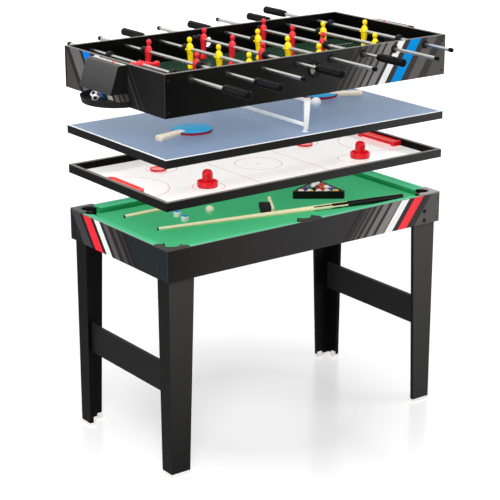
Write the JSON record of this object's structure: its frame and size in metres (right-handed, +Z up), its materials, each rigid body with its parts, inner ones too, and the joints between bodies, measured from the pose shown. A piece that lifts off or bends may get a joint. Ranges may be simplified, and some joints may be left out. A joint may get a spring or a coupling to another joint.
{
  "type": "multi game table",
  "caption": "Multi game table: pool base on tapered legs under lift-off air hockey, table tennis and foosball tops, with sliding and spinning player rods and loose game pieces.",
  "frame": {"origin": "on the floor under the middle of the table", "axes": "+X along the table, from the end at the viewer's left to the end at the right; -Y is the long side facing the viewer; +Z up"},
  "size_m": [1.4606, 1.29, 1.4662],
  "materials": {
    "black_board": "satin laminate",
    "cloth": "felt",
    "pocket_plastic": "matt moulded",
    "black_plastic": "matt moulded",
    "ball_resin": "gloss, mixed colours",
    "white_plastic": "gloss",
    "cue_wood": "clear lacquer",
    "brush_wood": "pale handle, black bristles",
    "hockey_white": "gloss laminate",
    "red_plastic": "gloss",
    "tennis_blue": "painted board",
    "paddle_wood": "plywood with rubber faces",
    "net_white": "woven net on plastic posts",
    "field_green": "printed laminate",
    "rod_red": "chromed tube, red men, black grip",
    "rod_yellow": "chromed tube, yellow men, black grip",
    "bumper_rubber": "matt"
  },
  "bodies": {
    "base": {"apron_front": "black_board", "apron_back": "black_board", "apron_left": "black_board", "apron_right": "black_board", "bed": "cloth", "pocket_left_front": "pocket_plastic", "leg_left_front": "black_board", "pocket_left_back": "pocket_plastic", "leg_left_back": "black_board", "stretcher_left": "black_board", "pocket_right_front": "pocket_plastic", "leg_right_front": "black_board", "pocket_right_back": "pocket_plastic", "leg_right_back": "black_board", "stretcher_right": "black_board", "pocket_middle_front": "pocket_plastic", "pocket_middle_back": "pocket_plastic", "rack": "black_plastic", "racked_balls": "ball_resin", "cue_ball": "white_plastic", "cue_near": "cue_wood", "cue_far": "cue_wood", "brush": "brush_wood"},
    "hockey_top": {"hockey_frame": "black_board", "hockey_panel": "hockey_white", "hockey_goal_left": "red_plastic", "hockey_goal_right": "red_plastic", "pusher_left": "red_plastic", "pusher_right": "red_plastic", "puck_left": "red_plastic", "puck_right": "red_plastic"},
    "tennis_top": {"tennis_board": "tennis_blue", "net": "net_white", "paddle_left": "paddle_wood", "paddle_right": "paddle_wood", "tennis_ball": "white_plastic"},
    "foosball_top": {"box_side_front": "black_board", "box_side_back": "black_board", "box_end_left": "black_board", "box_end_right": "black_board", "field": "field_green", "goal_left": "black_plastic", "goal_right": "black_plastic", "football": "white_plastic"},
    "bumper_1": {"bumper_1": "bumper_rubber"},
    "rod_1": {"rod_1": "rod_red"},
    "bumper_2": {"bumper_2": "bumper_rubber"},
    "rod_2": {"rod_2": "rod_red"},
    "bumper_3": {"bumper_3": "bumper_rubber"},
    "rod_3": {"rod_3": "rod_yellow"},
    "bumper_4": {"bumper_4": "bumper_rubber"},
    "rod_4": {"rod_4": "rod_red"},
    "bumper_5": {"bumper_5": "bumper_rubber"},
    "rod_5": {"rod_5": "rod_yellow"},
    "bumper_6": {"bumper_6": "bumper_rubber"},
    "rod_6": {"rod_6": "rod_red"},
    "bumper_7": {"bumper_7": "bumper_rubber"},
    "rod_7": {"rod_7": "rod_yellow"},
    "bumper_8": {"bumper_8": "bumper_rubber"},
    "rod_8": {"rod_8": "rod_yellow"}
  },
  "joints": [
    {"name": "hockey_top_lift", "type": "slide", "parent": "base", "child": "hockey_top", "axis": [0, 0, 1], "range_m": [-0.13, 0.2]},
    {"name": "tennis_top_lift", "type": "slide", "parent": "hockey_top", "child": "tennis_top", "axis": [0, 0, 1], "range_m": [-0.092, 0.2]},
    {"name": "foosball_top_lift", "type": "slide", "parent": "tennis_top", "child": "foosball_top", "axis": [0, 0, 1], "range_m": [-0.05, 0.2]},
    {"name": "rod_1_slide", "type": "slide", "parent": "foosball_top", "child": "bumper_1", "axis": [0, 1, 0], "range_m": [-0.078, 0.118]},
    {"name": "rod_1_spin", "type": "hinge", "parent": "bumper_1", "child": "rod_1", "pos_m": [-0.5182, 0, 1.421], "axis": [0, 1, 0], "continuous": true},
    {"name": "rod_2_slide", "type": "slide", "parent": "foosball_top", "child": "bumper_2", "axis": [0, 1, 0], "range_m": [-0.1333, 0.1135]},
    {"name": "rod_2_spin", "type": "hinge", "parent": "bumper_2", "child": "rod_2", "pos_m": [-0.3701, 0, 1.421], "axis": [0, 1, 0], "continuous": true},
    {"name": "rod_3_slide", "type": "slide", "parent": "foosball_top", "child": "bumper_3", "axis": [0, 1, 0], "range_m": [-0.0281, 0.1592]},
    {"name": "rod_3_spin", "type": "hinge", "parent": "bumper_3", "child": "rod_3", "pos_m": [-0.2221, 0, 1.421], "axis": [0, 1, 0], "continuous": true},
    {"name": "rod_4_slide", "type": "slide", "parent": "foosball_top", "child": "bumper_4", "axis": [0, 1, 0], "range_m": [-0.1536, 0.0337]},
    {"name": "rod_4_spin", "type": "hinge", "parent": "bumper_4", "child": "rod_4", "pos_m": [-0.074, 0, 1.421], "axis": [0, 1, 0], "continuous": true},
    {"name": "rod_5_slide", "type": "slide", "parent": "foosball_top", "child": "bumper_5", "axis": [0, 1, 0], "range_m": [-0.015, 0.1723]},
    {"name": "rod_5_spin", "type": "hinge", "parent": "bumper_5", "child": "rod_5", "pos_m": [0.074, 0, 1.421], "axis": [0, 1, 0], "continuous": true},
    {"name": "rod_6_slide", "type": "slide", "parent": "foosball_top", "child": "bumper_6", "axis": [0, 1, 0], "range_m": [-0.1803, 0.007]},
    {"name": "rod_6_spin", "type": "hinge", "parent": "bumper_6", "child": "rod_6", "pos_m": [0.2221, 0, 1.421], "axis": [0, 1, 0], "continuous": true},
    {"name": "rod_7_slide", "type": "slide", "parent": "foosball_top", "child": "bumper_7", "axis": [0, 1, 0], "range_m": [-0.058, 0.1888]},
    {"name": "rod_7_spin", "type": "hinge", "parent": "bumper_7", "child": "rod_7", "pos_m": [0.3701, 0, 1.421], "axis": [0, 1, 0], "continuous": true},
    {"name": "rod_8_slide", "type": "slide", "parent": "foosball_top", "child": "bumper_8", "axis": [0, 1, 0], "range_m": [-0.118, 0.078]},
    {"name": "rod_8_spin", "type": "hinge", "parent": "bumper_8", "child": "rod_8", "pos_m": [0.5182, 0, 1.421], "axis": [0, 1, 0], "continuous": true}
  ]
}
